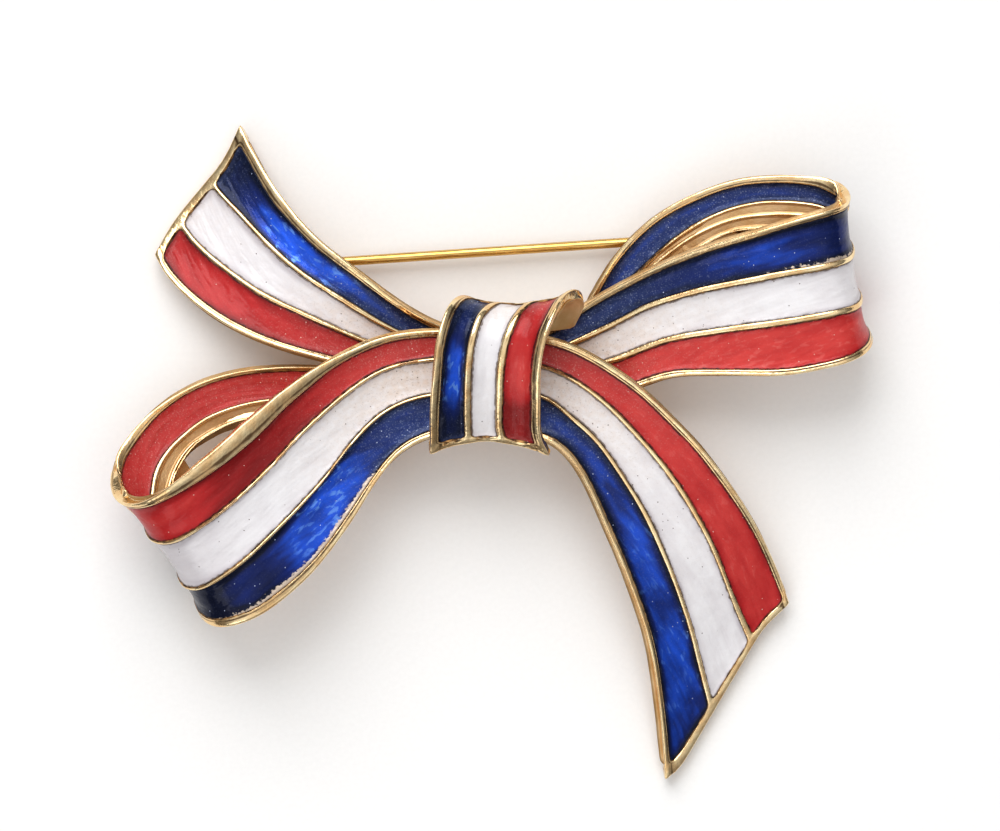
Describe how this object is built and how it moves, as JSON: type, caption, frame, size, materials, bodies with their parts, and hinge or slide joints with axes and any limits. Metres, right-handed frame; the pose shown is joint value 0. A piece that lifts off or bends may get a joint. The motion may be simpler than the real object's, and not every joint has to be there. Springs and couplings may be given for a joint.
{
  "type": "bow brooch",
  "caption": "Cast bow brooch of gold-coloured metal with red, white and blue enamel stripes, a knot band, and a hinged pin with an open catch behind.",
  "frame": {"origin": "on the surface that the brooch lies on, under the middle of its bounding box", "axes": "+Z out of the bow's face, +X to the right loop as seen from the face, +Y up towards the left tail's tip"},
  "size_m": [0.0638, 0.055, 0.0135],
  "materials": {
    "gold": "polished gold plate, slightly worn",
    "pin_metal": "polished gold plate",
    "enamel_red": "glossy translucent enamel",
    "enamel_white": "glossy opaque enamel",
    "enamel_blue": "glossy translucent enamel"
  },
  "bodies": {
    "brooch": {"bow_frame": "gold", "left_loop_red": "enamel_red", "left_loop_white": "enamel_white", "left_loop_blue": "enamel_blue", "left_loop_inner_red": "enamel_red", "right_loop_blue": "enamel_blue", "right_loop_white": "enamel_white", "right_loop_red": "enamel_red", "right_loop_inner_blue": "enamel_blue", "left_tail_blue": "enamel_blue", "left_tail_white": "enamel_white", "left_tail_red": "enamel_red", "right_tail_red": "enamel_red", "right_tail_white": "enamel_white", "right_tail_blue": "enamel_blue", "knot_blue": "enamel_blue", "knot_white": "enamel_white", "knot_red": "enamel_red", "hinge_bracket": "pin_metal", "hinge_rivet": "pin_metal", "catch": "pin_metal"},
    "pin": {"pin_stem": "pin_metal"}
  },
  "joints": [
    {"name": "pin_hinge", "type": "hinge", "parent": "brooch", "child": "pin", "pos_m": [-0.01581, 0.01573, 0.0013], "axis": [-0.0676, 0.9977, 0], "range_deg": [0, 95]}
  ]
}
